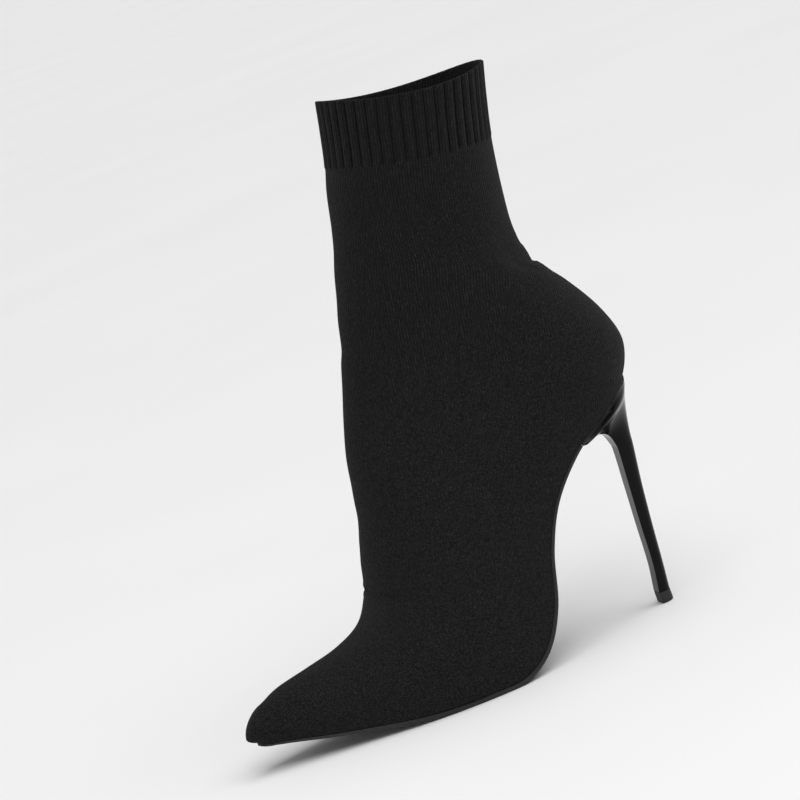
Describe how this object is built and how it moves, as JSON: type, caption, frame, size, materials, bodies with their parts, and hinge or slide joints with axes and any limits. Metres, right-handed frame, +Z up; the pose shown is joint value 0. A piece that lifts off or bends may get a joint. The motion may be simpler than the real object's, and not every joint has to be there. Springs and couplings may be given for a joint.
{
  "type": "sock boot",
  "caption": "Left sock boot with a pointed toe, a hollow knitted upper with a ribbed cuff open at the top, a thin arched sole and a slim high heel.",
  "frame": {"origin": "centre of the heel tip's flat underside, on the floor", "axes": "+X runs along the floor to the toe, +Y to the outer side of the left foot, +Z up along the leg"},
  "size_m": [0.2347, 0.0802, 0.2822],
  "materials": {
    "knit": "matt black fine knit with faint lighter flecks, ribbed at the cuff",
    "sole": "smooth black sheet",
    "lining": "black sock lining, soft sheen",
    "lacquer": "high gloss black lacquer",
    "top_piece": "black hard rubber"
  },
  "bodies": {
    "root": {"upper": "knit", "outsole": "sole", "insole": "lining", "heel": "lacquer", "heel_tip": "top_piece"}
  },
  "joints": []
}
